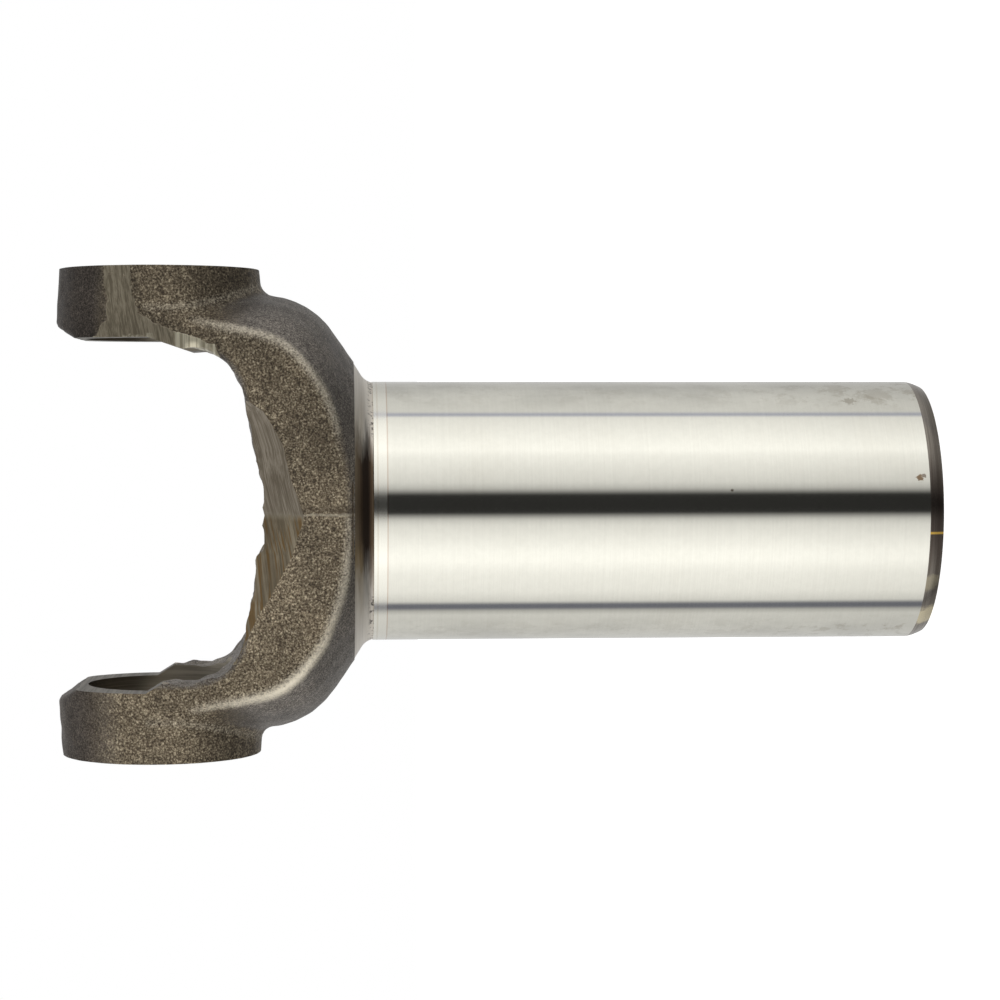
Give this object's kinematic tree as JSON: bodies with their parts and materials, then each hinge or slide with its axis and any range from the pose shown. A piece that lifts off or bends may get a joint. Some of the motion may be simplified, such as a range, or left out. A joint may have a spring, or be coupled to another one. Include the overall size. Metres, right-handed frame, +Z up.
{
  "type": "forged yoke",
  "caption": "Slip yoke of a driveshaft: two ears with a cross bore on a forged head, and a ground barrel with a splined bore.",
  "frame": {"origin": "middle of the flat end face of the barrel, on which the yoke stands", "axes": "+Z up the barrel to the ears, X along the cross bore through both ears, Y across the ears"},
  "size_m": [0.0892, 0.0566, 0.1601],
  "materials": {
    "yoke_steel": "raw forged head, turned fillet, ground barrel, bored and broached holes",
    "plug_steel": "pressed sheet, dull"
  },
  "bodies": {
    "root": {"yoke": "yoke_steel", "seal_plug": "plug_steel"}
  },
  "joints": []
}
